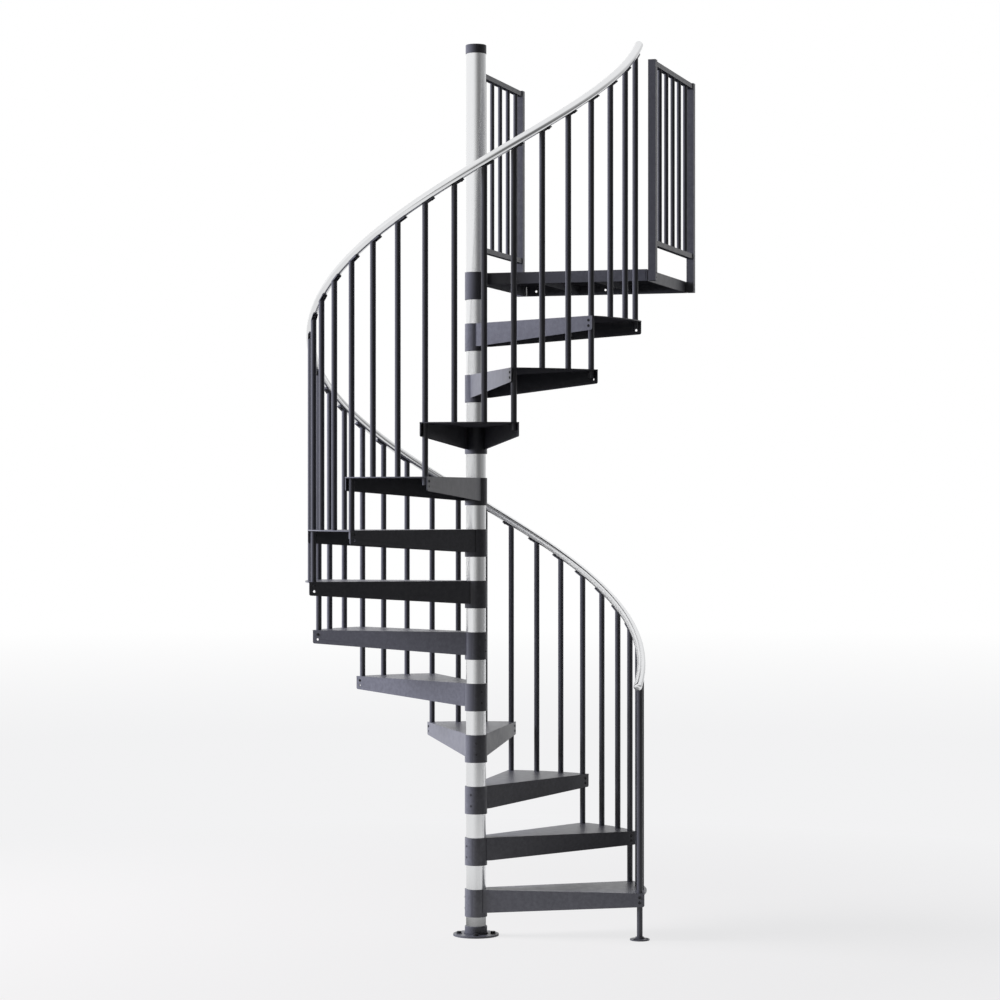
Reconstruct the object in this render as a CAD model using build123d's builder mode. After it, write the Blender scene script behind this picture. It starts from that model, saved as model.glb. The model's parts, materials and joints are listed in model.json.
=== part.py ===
from build123d import *
import os
from math import asin, atan2, cos, degrees, radians, sin, sqrt

# A spiral staircase. Winder treads climb counterclockwise round a pole to a square landing. The origin is on
# the floor at the pole's axis, X runs along the landing's front edge and Y across the landing. Millimetres.

# Climb and plan of the stair
tread_count = 12
first_riser_height = 208.5
riser_height = 229.5
tread_radius = 762.0
tread_half_wedge_angle = 12.29
balusters_per_tread = 3
full_turn_angle = 360.0

# Pole, its cap and its base
pole_diameter = 88.9
pole_wall_thickness = 3.6
pole_height_above_landing = 1013.0
pole_cap_height = 40.0
pole_cap_wall_thickness = 1.9
pole_cap_top_thickness = 4.0
pole_cap_edge_length = 2.5
base_flange_diameter = 204.0
base_flange_thickness = 9.0
base_collar_diameter = 100.0
base_collar_height = 36.0
base_collar_edge_length = 3.0
base_bolt_circle_diameter = 152.0
base_bolt_count = 4
base_bolt_start_angle = 17.0
base_bolt_hole_diameter = 13.0
slip_clearance = 0.3
cut_overrun_length = 5.0

# Hubs and treads
hub_diameter = 100.0
hub_height = 122.5
tread_thickness = 5.0
flange_thickness = 5.0
flange_weld_inset_depth = 1.0
flange_tip_setback_length = 1.0
flange_tip_depth = 60.0
flange_root_depth = 102.0
flange_corner_radius = 8.0
flange_hole_diameter = 11.0
flange_hole_drop_height = 42.0
lip_depth = 15.0
lip_thickness = 5.0
lip_setback_length = 1.0
wedge_reach_share = 1.15

# Balusters and the tabs under the handrail
baluster_inset_length = 24.0
baluster_diameter = 25.4
baluster_flange_clearance = 0.5
baluster_tail_length = 36.0
baluster_height = 924.5
tab_length = 58.0
tab_width = 24.0
tab_thickness = 5.0
tab_corner_radius = 4.0
foot_diameter = 87.0
foot_thickness = 6.0
foot_collar_diameter = 38.0
foot_collar_height = 9.0
foot_screw_circle_diameter = 64.0
foot_screw_count = 3
foot_screw_hole_diameter = 6.5

# Handrail
rail_diameter = 38.0
rail_wall_thickness = 2.5
rail_seat_clearance = 0.2
rail_start_length = 42.0
rail_end_length = 60.0
rail_cap_length = 25.0
rail_cap_edge_radius = 13.0
rail_plug_length = 20.0
rail_plug_clearance = 0.5
rail_socket_depth = 21.0

# Landing
landing_left_width = 8.0
landing_right_overhang_width = 15.5
landing_front_setback_length = 37.0
landing_back_overhang_length = 49.0
landing_depth = 51.0
deck_thickness = 5.0
landing_wall_thickness = 5.0
corner_relief_width = 2.0
rib_count = 2
rib_thickness = 5.0
rib_depth = 45.0
wall_hole_diameter = 11.0
wall_hole_count = 3
wall_hole_end_length = 53.0
wall_hole_drop_height = 28.0

# Guard panels at the landing's sides
post_width = 34.0
post_height = 923.0
left_front_post_setback_length = 35.0
post_pad_thickness = 4.5
post_pad_width = 26.0
post_pad_height = 41.0
post_seat_clearance = 0.2
picket_count = 5
picket_diameter = 20.0
first_picket_share = 1.05
guard_rail_width = 26.0
guard_rail_height = 22.5
lower_rail_height = 105.5
upper_rail_drop_height = 4.0

# Sizes that follow from the ones above
pole_radius = pole_diameter / 2
bore_radius = pole_radius + slip_clearance
hub_radius = hub_diameter / 2
baluster_radius = baluster_diameter / 2
baluster_hole_radius = baluster_radius + slip_clearance
rail_radius = rail_diameter / 2
baluster_circle_radius = tread_radius - baluster_inset_length
rail_bore_radius = rail_radius - rail_wall_thickness
flange_offset = hub_radius - flange_weld_inset_depth
baluster_offset = flange_offset - flange_thickness - baluster_flange_clearance - baluster_radius
baluster_half_angle = tread_half_wedge_angle + degrees(asin(baluster_offset / baluster_circle_radius))
tread_corner_angle = tread_half_wedge_angle + degrees(asin(flange_offset / tread_radius))
tread_pitch = 2 * baluster_half_angle
baluster_pitch = tread_pitch / balusters_per_tread
top_tread_angle = -tread_corner_angle
wedge_reach = tread_radius * wedge_reach_share
landing_top = first_riser_height + riser_height * tread_count
landing_underside = landing_top - landing_depth
landing_left = -landing_left_width
landing_right = tread_radius + landing_right_overhang_width
landing_front = landing_front_setback_length
landing_back = tread_radius + landing_back_overhang_length
pole_top = landing_top + pole_height_above_landing
rail_climb_per_degree = riser_height / tread_pitch
arc_per_degree = radians(baluster_circle_radius)
rail_slope = degrees(atan2(rail_climb_per_degree, arc_per_degree))
rail_lift = (rail_radius + rail_seat_clearance) / cos(radians(rail_slope))


def tread_top(number):
    """Height of a tread's top face, with the lowest tread as number 1."""
    return first_riser_height + riser_height * (number - 1)


def tread_angle(number):
    """Direction of a tread's middle line, in degrees from X."""
    return top_tread_angle - tread_pitch * (tread_count - number)


def direction(angle):
    """Level unit vector at an angle from X."""
    return Vector(cos(radians(angle)), sin(radians(angle)), 0)


def wedge_corners(offset):
    """Corners of the wedge between two lines that pass the pole at an offset, in a tread's own plane."""
    root = direction(tread_half_wedge_angle + 90) * offset
    tip = root + direction(tread_half_wedge_angle) * wedge_reach
    return [(root.X, root.Y), (tip.X, tip.Y), (tip.X, -tip.Y), (root.X, -root.Y)]


def baluster_angle(number, step):
    """Direction of a tread's balusters, counted from its front corner."""
    return tread_angle(number) - baluster_half_angle + baluster_pitch * step


def tab_height(angle):
    """Height of the tabs' top line at an angle round the stair."""
    first_angle = baluster_angle(1, 0)
    return tread_top(1) + baluster_height + rail_climb_per_degree * (angle - first_angle)


def climb_direction(angle):
    """Unit vector up the handrail at an angle round the stair."""
    level = direction(angle + 90)
    return level * cos(radians(rail_slope)) + Vector(0, 0, sin(radians(rail_slope)))


def rail_point(angle):
    """Centre of the handrail at an angle round the stair."""
    level = direction(angle) * baluster_circle_radius
    return level + Vector(0, 0, tab_height(angle) + rail_lift)


def export(part, name):
    """Name a finished piece and write its file."""
    part.label = name
    export_step(part, f"parts/{name}.step")


os.makedirs("parts", exist_ok=True)

# Base: a round flange with a collar that takes the pole
with BuildPart() as base_plate:
    with BuildSketch():
        Circle(base_flange_diameter / 2)
        with PolarLocations(base_bolt_circle_diameter / 2, base_bolt_count, base_bolt_start_angle):
            Circle(base_bolt_hole_diameter / 2, mode=Mode.SUBTRACT)
    extrude(amount=base_flange_thickness)
    with BuildSketch(Plane.XY.offset(base_flange_thickness)):
        Circle(base_collar_diameter / 2)
        Circle(bore_radius, mode=Mode.SUBTRACT)
    extrude(amount=base_collar_height)
    collar_rims = base_plate.edges().filter_by(GeomType.CIRCLE).group_by(Axis.Z)[-1]
    chamfer(collar_rims.sort_by(SortBy.RADIUS)[-1], base_collar_edge_length)
export(base_plate.part, "base_plate")

# Pole: one round tube that stands on the base flange and ends inside the cap
with BuildPart() as center_pole:
    with BuildSketch(Plane.XY.offset(base_flange_thickness)):
        Circle(pole_radius)
        Circle(pole_radius - pole_wall_thickness, mode=Mode.SUBTRACT)
    extrude(amount=pole_top - base_flange_thickness)
export(center_pole.part, "center_pole")

# Pole cap: a shallow cup turned over the pole's end
with BuildPart() as pole_cap:
    with BuildSketch(Plane.XY.offset(pole_top + pole_cap_top_thickness)):
        Circle(bore_radius + pole_cap_wall_thickness)
    extrude(amount=-pole_cap_height)
    chamfer(pole_cap.edges().group_by(Axis.Z)[-1], pole_cap_edge_length)
    with BuildSketch(Plane.XY.offset(pole_top)):
        Circle(bore_radius)
    extrude(amount=-pole_cap_height, mode=Mode.SUBTRACT)
export(pole_cap.part, "pole_cap")

# Treads: hub sleeve, wedge plate with an arc edge, two deep side flanges and a shallow lip
tip_x = tread_radius * cos(radians(tread_corner_angle)) - flange_tip_setback_length
lip_radius = tread_radius - lip_setback_length
baluster_reach = sqrt(baluster_circle_radius**2 - baluster_offset**2)
for number in range(1, tread_count + 1):
    top_plane = Plane(origin=(0, 0, tread_top(number)), x_dir=direction(tread_angle(number)))
    side_plane = Plane(top_plane.origin, x_dir=top_plane.x_dir, z_dir=direction(tread_angle(number) - 90))
    with BuildPart() as tread:
        with BuildSketch(top_plane):
            with BuildLine():
                Polyline(*wedge_corners(flange_offset), close=True)
            make_face()
            Circle(tread_radius, mode=Mode.INTERSECT)
        extrude(amount=-hub_height)
        with BuildSketch(top_plane.offset(-tread_thickness)):
            with BuildLine():
                Polyline(*wedge_corners(flange_offset - flange_thickness), close=True)
            make_face()
        extrude(amount=-hub_height, mode=Mode.SUBTRACT)
        with BuildSketch(side_plane) as taper:
            with BuildLine():
                Polyline(
                    (-hub_radius, -flange_root_depth),
                    (hub_radius, -flange_root_depth),
                    (tip_x, -flange_tip_depth),
                    (tip_x, -lip_depth),
                    (wedge_reach, -lip_depth),
                    (wedge_reach, -hub_height - cut_overrun_length),
                    (-hub_radius, -hub_height - cut_overrun_length),
                    close=True,
                )
            make_face()
            fillet(taper.vertices().sort_by_distance((tip_x, -flange_tip_depth))[0], flange_corner_radius)
        extrude(amount=tread_radius, both=True, mode=Mode.SUBTRACT)
        with BuildSketch(top_plane.offset(-tread_thickness / 2)):
            with BuildLine():
                Polyline(*wedge_corners(flange_offset - flange_thickness / 2), close=True)
            make_face()
            Circle(lip_radius, mode=Mode.INTERSECT)
            Circle(lip_radius - lip_thickness, mode=Mode.SUBTRACT)
        extrude(amount=tread_thickness / 2 - lip_depth)
        with BuildSketch(top_plane):
            Circle(hub_radius)
        extrude(amount=-hub_height)
        with BuildSketch(top_plane.offset(cut_overrun_length)):
            Circle(bore_radius)
        extrude(amount=-hub_height - 2 * cut_overrun_length, mode=Mode.SUBTRACT)
        with BuildSketch(top_plane.offset(cut_overrun_length)):
            corner_span = (-baluster_half_angle, tread_pitch)
            with PolarLocations(baluster_circle_radius, 2, *corner_span, endpoint=True):
                Circle(baluster_hole_radius)
        extrude(amount=-tread_thickness - 2 * cut_overrun_length, mode=Mode.SUBTRACT)
        back_along = tread_angle(number) + tread_half_wedge_angle
        back_root = direction(back_along + 90) * flange_offset + top_plane.origin
        with BuildSketch(Plane(back_root, x_dir=direction(back_along), z_dir=direction(back_along - 90))):
            with Locations((baluster_reach, -flange_hole_drop_height)):
                Circle(flange_hole_diameter / 2)
        extrude(amount=flange_thickness + cut_overrun_length, both=True, mode=Mode.SUBTRACT)
    export(tread.part, f"tread_{number:02d}")


def make_baluster(angle, bottom):
    """One round bar up to the handrail, with the inclined tab that is screwed to the rail's underside."""
    tab_origin = direction(angle) * baluster_circle_radius + Vector(0, 0, tab_height(angle))
    tab_normal = direction(angle).cross(climb_direction(angle))
    tab_plane = Plane(origin=tab_origin, x_dir=climb_direction(angle), z_dir=tab_normal)
    with BuildPart() as baluster:
        with BuildSketch(Plane(origin=(tab_origin.X, tab_origin.Y, bottom))):
            Circle(baluster_radius)
        extrude(amount=tab_origin.Z - bottom + baluster_diameter)
        split(bisect_by=tab_plane.offset(-tab_thickness / 2), keep=Keep.BOTTOM)
        with BuildSketch(tab_plane):
            with Locations((tab_length / 2 - tab_width / 2, 0)):
                RectangleRounded(tab_length, tab_width, tab_corner_radius)
        extrude(amount=-tab_thickness)
    return baluster.part


# Balusters: at each tread's front corner one bar runs down to the tread below, and two stand on the tread
for number in range(1, tread_count + 1):
    corner_bottom = foot_thickness if number == 1 else tread_top(number - 1) - baluster_tail_length
    bottoms = [corner_bottom] + [tread_top(number)] * (balusters_per_tread - 1)
    bars = [make_baluster(baluster_angle(number, step), bottom) for step, bottom in enumerate(bottoms)]
    with BuildPart() as baluster_set:
        for bar in bars:
            add(bar)
    export(baluster_set.part, f"balusters_{number:02d}")

# Top baluster: the bar in the last tread's back corner
last_angle = baluster_angle(tread_count, balusters_per_tread)
top_baluster = make_baluster(last_angle, tread_top(tread_count) - baluster_tail_length)
export(top_baluster, "top_baluster")

# Foot: a round floor flange with a low collar under the first baluster
foot_centre = direction(baluster_angle(1, 0)) * baluster_circle_radius
with BuildPart() as baluster_foot:
    with BuildSketch(Plane(origin=foot_centre)):
        Circle(foot_diameter / 2)
        with PolarLocations(foot_screw_circle_diameter / 2, foot_screw_count):
            Circle(foot_screw_hole_diameter / 2, mode=Mode.SUBTRACT)
    extrude(amount=foot_thickness)
    with BuildSketch(Plane(origin=foot_centre).offset(foot_thickness)):
        Circle(foot_collar_diameter / 2)
        Circle(baluster_hole_radius, mode=Mode.SUBTRACT)
    extrude(amount=foot_collar_height)
export(baluster_foot.part, "baluster_foot")

# Handrail: a round bar on a helix over the baluster circle, with a socket in each end for a cap's plug
rail_start = baluster_angle(1, 0) - rail_start_length / arc_per_degree
rail_end = last_angle + rail_end_length / arc_per_degree
rail_ends = ((rail_start, -climb_direction(rail_start)), (rail_end, climb_direction(rail_end)))
with BuildPart() as handrail:
    with BuildLine() as rail_line:
        rail_turn = Helix(
            pitch=rail_climb_per_degree * full_turn_angle,
            height=rail_climb_per_degree * (rail_end - rail_start),
            radius=baluster_circle_radius,
            center=(0, 0, rail_point(rail_start).Z),
            mode=Mode.PRIVATE,
        )
        add(rail_turn.rotate(Axis.Z, rail_start))
    with BuildSketch(Plane(origin=rail_line.line @ 0, z_dir=rail_line.line % 0)):
        Circle(rail_radius)
    sweep(is_frenet=True)
    for angle, outward in rail_ends:
        with BuildSketch(Plane(origin=rail_point(angle), z_dir=outward)):
            Circle(rail_bore_radius)
        extrude(amount=-rail_socket_depth, mode=Mode.SUBTRACT)
export(handrail.part, "handrail")

# Handrail caps: a turned end with a rounded nose, and a plug that fits the rail's socket
plug_radius = rail_bore_radius - rail_plug_clearance
with BuildPart() as handrail_caps:
    for angle, outward in rail_ends:
        cap_plane = Plane(origin=rail_point(angle), x_dir=outward, z_dir=direction(angle))
        with BuildSketch(cap_plane) as cap_profile:
            with BuildLine():
                Polyline(
                    (-rail_plug_length, 0),
                    (-rail_plug_length, plug_radius),
                    (0, plug_radius),
                    (0, rail_radius),
                    (rail_cap_length, rail_radius),
                    (rail_cap_length, 0),
                    close=True,
                )
            make_face()
            nose = cap_profile.vertices().group_by(Axis.X)[-1].sort_by(Axis.Y)[-1]
            fillet(nose, rail_cap_edge_radius)
        revolve(axis=Axis(cap_plane.origin, outward))
export(handrail_caps.part, "handrail_caps")

# Landing: a folded deck with walls all round, a relief slit at each corner and its own hub
landing_width = landing_right - landing_left
landing_length = landing_back - landing_front
landing_middle = ((landing_left + landing_right) / 2, (landing_front + landing_back) / 2)
tray_width = landing_width - 2 * landing_wall_thickness
tray_length = landing_length - 2 * landing_wall_thickness
relief_spacing = tray_width - corner_relief_width
wall_hole_spacing = (landing_width - 2 * wall_hole_end_length) / (wall_hole_count - 1)
wall_hole_row = (landing_middle[0], landing_back, landing_top - wall_hole_drop_height)
with BuildPart() as landing:
    with BuildSketch(Plane.XY.offset(landing_top)):
        with Locations(landing_middle):
            Rectangle(landing_width, landing_length)
    extrude(amount=-landing_depth)
    with BuildSketch(Plane.XY.offset(landing_top - deck_thickness)):
        with Locations(landing_middle):
            Rectangle(tray_width, tray_length)
            with GridLocations(relief_spacing, 0, 2, 1):
                Rectangle(corner_relief_width, landing_length)
    extrude(amount=-(landing_depth - deck_thickness), mode=Mode.SUBTRACT)
    with BuildSketch(Plane.XY.offset(landing_top)):
        with Locations(landing_middle):
            with GridLocations(landing_width / (rib_count + 1), 0, rib_count, 1):
                Rectangle(rib_thickness, landing_length - landing_wall_thickness)
        Circle(hub_radius, mode=Mode.SUBTRACT)
    extrude(amount=-rib_depth)
    with BuildSketch(Plane.XY.offset(landing_top)):
        Circle(hub_radius)
    extrude(amount=-hub_height)
    with BuildSketch(Plane.XY.offset(landing_top)):
        Circle(bore_radius)
    extrude(amount=-hub_height, mode=Mode.SUBTRACT)
    with BuildSketch(Plane(origin=wall_hole_row, x_dir=(1, 0, 0), z_dir=(0, 1, 0))):
        with GridLocations(wall_hole_spacing, 0, wall_hole_count, 1):
            Circle(wall_hole_diameter / 2)
    extrude(amount=-landing_wall_thickness, mode=Mode.SUBTRACT)
export(landing.part, "landing_platform")

# Guard panels: two square posts with pads against the landing's side, two level rails and round pickets
post_inset = post_width / 2
post_offset = post_seat_clearance + post_pad_thickness + post_inset
back_posts_y = landing_back - post_inset
right_front_post_y = landing_front + post_inset
left_front_post_y = right_front_post_y + left_front_post_setback_length
picket_pitch = (back_posts_y - right_front_post_y) / (picket_count + 1)
post_top = landing_top + post_height
pad_z = landing_top - (landing_depth + post_pad_height) / 2
lower_rail_z = landing_top + lower_rail_height
upper_rail_z = post_top - upper_rail_drop_height - guard_rail_height
guards = (
    ("guard_panel_left", landing_left - post_offset, post_inset, left_front_post_y),
    ("guard_panel_right", landing_right + post_offset, -post_inset, right_front_post_y),
)
for name, posts_x, pad_offset, front_post_y in guards:
    panel_y = (front_post_y + back_posts_y) / 2
    post_spacing = back_posts_y - front_post_y
    first_picket_y = front_post_y + picket_pitch * first_picket_share
    with BuildPart() as guard_panel:
        with BuildSketch(Plane.XY.offset(landing_underside)):
            with Locations((posts_x, panel_y)):
                with GridLocations(0, post_spacing, 1, 2):
                    Rectangle(post_width, post_width)
        extrude(amount=post_top - landing_underside)
        with BuildSketch(Plane.XY.offset(pad_z)):
            with Locations((posts_x + pad_offset, panel_y)):
                with GridLocations(0, post_spacing, 1, 2):
                    Rectangle(2 * post_pad_thickness, post_pad_width)
        extrude(amount=post_pad_height)
        for rail_z in (lower_rail_z, upper_rail_z):
            with BuildSketch(Plane.XY.offset(rail_z)):
                with Locations((posts_x, panel_y)):
                    Rectangle(guard_rail_width, post_spacing)
            extrude(amount=guard_rail_height)
        with BuildSketch(Plane.XY.offset(lower_rail_z + guard_rail_height)):
            with Locations(*[(posts_x, first_picket_y + picket_pitch * step) for step in range(picket_count)]):
                Circle(picket_diameter / 2)
        extrude(amount=upper_rail_z - lower_rail_z - guard_rail_height)
    export(guard_panel.part, name)
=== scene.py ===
import json
import math

import bpy
from mathutils import Matrix, Vector


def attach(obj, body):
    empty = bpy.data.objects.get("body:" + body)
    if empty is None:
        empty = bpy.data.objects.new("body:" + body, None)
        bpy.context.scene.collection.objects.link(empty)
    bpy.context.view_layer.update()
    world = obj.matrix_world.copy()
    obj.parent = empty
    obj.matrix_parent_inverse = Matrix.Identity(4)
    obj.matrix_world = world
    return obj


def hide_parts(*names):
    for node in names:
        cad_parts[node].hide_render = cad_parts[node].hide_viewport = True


# Looks of the spiral staircase, in metres and in the CAD frame: finishes for the CAD nodes, treads with the
# flanges that the photograph shows, the screws, bolts and weld beads that the solids leave out, and a studio

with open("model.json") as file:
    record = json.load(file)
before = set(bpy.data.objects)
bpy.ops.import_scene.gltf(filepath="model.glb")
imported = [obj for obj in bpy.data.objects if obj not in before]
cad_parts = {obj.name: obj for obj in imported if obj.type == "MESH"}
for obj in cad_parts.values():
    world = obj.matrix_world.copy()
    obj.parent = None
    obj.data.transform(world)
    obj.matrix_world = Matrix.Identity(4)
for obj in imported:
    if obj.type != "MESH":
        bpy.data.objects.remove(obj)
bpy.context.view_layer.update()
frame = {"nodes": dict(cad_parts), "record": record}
nodes = frame["nodes"]

EAST = Vector((1, 0, 0))
NORTH = Vector((0, 1, 0))
UP = Vector((0, 0, 1))
HERE = Matrix.Identity(4)

# Plan and sizes of the stair, as in the CAD source
TREAD_COUNT = 12
RISER_HEIGHT = 0.2295
FIRST_RISER_HEIGHT = 0.2085
TREAD_RADIUS = 0.762
TREAD_THICKNESS = 0.005
HALF_WEDGE = math.radians(12.29)
HUB_RADIUS = 0.050
HUB_HEIGHT = 0.1225
HUB_BORE_RADIUS = 0.04475
FLANGE_OFFSET = 0.049
FLANGE_THICKNESS = 0.005
FLANGE_ROOT_DEPTH = 0.102
FLANGE_TIP_DEPTH = 0.060
FLANGE_TIP_SETBACK = 0.001
FLANGE_CORNER_RADIUS = 0.008
FLANGE_HOLE_RADIUS = 0.0055
FLANGE_HOLE_DROP = 0.042
BALUSTER_HOLE_RADIUS = 0.013
BALUSTERS_PER_TREAD = 3
BALUSTER_CIRCLE = 0.738
BALUSTER_OFFSET = 0.0308
BALUSTER_HEIGHT = 0.9245
TAB_THICKNESS = 0.005
RAIL_RADIUS = 0.019
RAIL_SEAT_CLEARANCE = 0.0002
BASE_FLANGE_THICKNESS = 0.009
BASE_COLLAR_RADIUS = 0.050
BASE_BOLT_CIRCLE_RADIUS = 0.076
BASE_BOLT_COUNT = 4
BASE_BOLT_ANGLE = math.radians(17)
FOOT_THICKNESS = 0.006
FOOT_COLLAR_RADIUS = 0.019
FOOT_SCREW_CIRCLE_RADIUS = 0.032
FOOT_SCREW_COUNT = 3
LANDING_LEFT = -0.008
LANDING_RIGHT = 0.7775
LANDING_FRONT = 0.037
LANDING_BACK = 0.811
POST_WIDTH = 0.034
POST_STAND_OFF = 0.0047
POST_HEIGHT = 0.923
LEFT_FRONT_POST_SETBACK = 0.035
PICKET_COUNT = 5
PICKET_RADIUS = 0.010
FIRST_PICKET_SHARE = 1.05
GUARD_RAIL_WIDTH = 0.026
GUARD_RAIL_HEIGHT = 0.0225
LOWER_RAIL_ABOVE_LANDING = 0.1055
UPPER_RAIL_BELOW_POST_TOP = 0.004

# Flanges as the photograph shows them: their outer faces pass nearer to the axis than in the CAD source, with
# the same outer corners, and their roots start inside the hub's wall
SEAM_OFFSET = 0.035
FLANGE_ROOT_REACH = 0.034

# Fasteners and welds
SCREW_HEAD_RADIUS = 0.0062
SCREW_HEAD_HEIGHT = 0.0034
SCREW_SOCKET_WIDTH = 0.0042
SCREW_SOCKET_DEPTH = 0.0022
CORNER_SCREW_DROPS = (0.019, FLANGE_HOLE_DROP)
TAB_SCREW_REACH = 0.034
SET_SCREW_RADIUS = 0.0045
SET_SCREW_STAND = SCREW_HEAD_HEIGHT / 4
SET_SCREW_DROPS = (0.036, 0.086)
POST_SCREW_DROPS = (0.015, 0.036)
BOLT_HEAD_WIDTH = 0.019
BOLT_HEAD_HEIGHT = 0.0076
WASHER_RADIUS = 0.0125
WASHER_THICKNESS = 0.0024
WELD_LEG = 0.003
BASE_WELD_LEG = 0.0045
PICKET_WELD_LEG = 0.002
WELD_RIPPLE_LENGTH = 0.0026
WELD_RIPPLE_SHARE = 0.16

# Camera, at the photograph's height and angle
CAMERA_PLACE = Vector((3.7447, -11.8802, 1.9458))
CAMERA_AIM = Vector((-0.2924, 0.9563, 0.0))
CAMERA_LENS = 100.3
CAMERA_SENSOR = 36.0

# Angles and heights that follow from the sizes
BALUSTER_HALF_ANGLE = HALF_WEDGE + math.asin(BALUSTER_OFFSET / BALUSTER_CIRCLE)
TREAD_CORNER_ANGLE = HALF_WEDGE + math.asin(FLANGE_OFFSET / TREAD_RADIUS)
SEAM_WEDGE = TREAD_CORNER_ANGLE - math.asin(SEAM_OFFSET / TREAD_RADIUS)
SEAM_BALUSTER_REACH = BALUSTER_CIRCLE * math.cos(BALUSTER_HALF_ANGLE - SEAM_WEDGE)
TREAD_PITCH = 2 * BALUSTER_HALF_ANGLE
CLIMB_PER_RADIAN = RISER_HEIGHT / TREAD_PITCH
RAIL_SLOPE = math.atan2(CLIMB_PER_RADIAN, BALUSTER_CIRCLE)
FIRST_BALUSTER_ANGLE = -TREAD_CORNER_ANGLE - TREAD_PITCH * (TREAD_COUNT - 1) - BALUSTER_HALF_ANGLE
RAIL_LIFT = (RAIL_RADIUS + RAIL_SEAT_CLEARANCE) / math.cos(RAIL_SLOPE)
# Height of the rail's centre line over the X axis, were its helix carried on to there
RAIL_LINE_HEIGHT = FIRST_RISER_HEIGHT + BALUSTER_HEIGHT + RAIL_LIFT - CLIMB_PER_RADIAN * FIRST_BALUSTER_ANGLE


def tread_top(number):
    """Height of a tread's top face, with the lowest tread as number 1."""
    return FIRST_RISER_HEIGHT + RISER_HEIGHT * (number - 1)


def tread_angle(number):
    """Direction of a tread's middle line, in radians from X."""
    return -TREAD_CORNER_ANGLE - TREAD_PITCH * (TREAD_COUNT - number)


def level(angle):
    """Level unit vector at an angle from X."""
    return Vector((math.cos(angle), math.sin(angle), 0))


def baluster_angle(number, step):
    """Direction of a tread's balusters, counted from its front corner."""
    return tread_angle(number) - BALUSTER_HALF_ANGLE + TREAD_PITCH / BALUSTERS_PER_TREAD * step


def baluster_angles():
    """Directions of all the balusters, from the first to the one in the last tread's back corner."""
    last = TREAD_COUNT * BALUSTERS_PER_TREAD
    return [baluster_angle(1, step) for step in range(last + 1)]


def tab_height(angle):
    """Height of the tabs' top line at an angle round the stair."""
    return tread_top(1) + BALUSTER_HEIGHT + CLIMB_PER_RADIAN * (angle - baluster_angle(1, 0))


def placed(name, data):
    """A new object in the scene."""
    piece = bpy.data.objects.new(name, data)
    bpy.context.scene.collection.objects.link(piece)
    return piece


# Node trees

# Between these lie most values of a noise
NOISE_MIDDLE = (0.3, 0.7)
# Sockets of the Mix node where it mixes colours
MIX_SHARE = 0
MIX_FIRST = 6
MIX_SECOND = 7
MIX_RESULT = 2


class Tree:
    """A node tree with short calls to add and link nodes."""

    def __init__(self, owner):
        owner.use_nodes = True
        self.nodes = owner.node_tree.nodes
        self.links = owner.node_tree.links
        self.nodes.clear()

    def add(self, kind, settings=None, **inputs):
        """A node of a kind, with attributes from settings and its inputs set or linked by name."""
        node = self.nodes.new(kind)
        for key, value in (settings or {}).items():
            setattr(node, key, value)
        for key, value in inputs.items():
            self.feed(node.inputs[key.replace("_", " ")], value)
        return node

    def feed(self, socket, value):
        """Link a socket to another node's output, or set its value."""
        if isinstance(value, bpy.types.NodeSocket):
            self.links.new(value, socket)
        else:
            socket.default_value = value

    def math(self, operation, first, second=0.0):
        """One operation on two values."""
        node = self.add("ShaderNodeMath", {"operation": operation})
        self.feed(node.inputs[0], first)
        self.feed(node.inputs[1], second)
        return node.outputs[0]

    def noise(self, place, scale, detail=3.0, roughness=0.5):
        """Noise at a scale, as one value from 0 to 1."""
        node = self.add("ShaderNodeTexNoise", Vector=place, Scale=scale, Detail=detail, Roughness=roughness)
        return node.outputs["Fac"]

    def spread(self, value, low, high, start=0.0, end=1.0):
        """A value from start to end, spread from low to high."""
        node = self.add("ShaderNodeMapRange", Value=value)
        for key, bound in (("From Min", start), ("From Max", end), ("To Min", low), ("To Max", high)):
            node.inputs[key].default_value = bound
        return node.outputs["Result"]

    def varied(self, noise, low, high):
        """A noise whose middle values are spread from low to high."""
        return self.spread(noise, low, high, *NOISE_MIDDLE)

    def mix(self, share, first, second):
        """Two colours mixed by a share."""
        node = self.add("ShaderNodeMix", {"data_type": "RGBA"})
        self.feed(node.inputs[MIX_SHARE], share)
        self.feed(node.inputs[MIX_FIRST], first)
        self.feed(node.inputs[MIX_SECOND], second)
        return node.outputs[MIX_RESULT]

    def stretched(self, place, scale):
        """A place with its axes scaled apart."""
        node = self.add("ShaderNodeMapping", Vector=place, Scale=scale)
        return node.outputs["Vector"]

    def bump(self, height, strength, distance):
        """A normal that follows a height."""
        node = self.add("ShaderNodeBump", Height=height, Strength=strength, Distance=distance)
        return node.outputs["Normal"]


def new_surface(name, metallic, specular):
    """A material with its shader, and the place on the object that its textures use."""
    material = bpy.data.materials.new(name)
    tree = Tree(material)
    output = tree.add("ShaderNodeOutputMaterial")
    shader = tree.add("ShaderNodeBsdfPrincipled")
    shader.inputs["Metallic"].default_value = metallic
    shader.inputs["Specular IOR Level"].default_value = specular
    tree.links.new(shader.outputs[0], output.inputs["Surface"])
    place = tree.add("ShaderNodeTexCoord").outputs["Object"]
    return material, tree, shader, place


# Finishes

COAT_TONES = ((0.080, 0.080, 0.093, 1), (0.090, 0.090, 0.104, 1))
COAT_SPECKLE_TONE = (0.13, 0.13, 0.15, 1)
# Tone of the lighter edges: partly coat worn thin, partly a painted highlight
COAT_EDGE_WEAR_AND_HIGHLIGHT_TONE = (0.16, 0.16, 0.18, 1)
COAT_GLOSS = 0.36
COAT_ROUGHNESS = (0.34, 0.42)
# Span of the pointiness over which the lighter edge shows: partly coat worn thin, partly a painted highlight
COAT_EDGE_WEAR_AND_HIGHLIGHT_SPAN = (0.53, 0.60)
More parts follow.
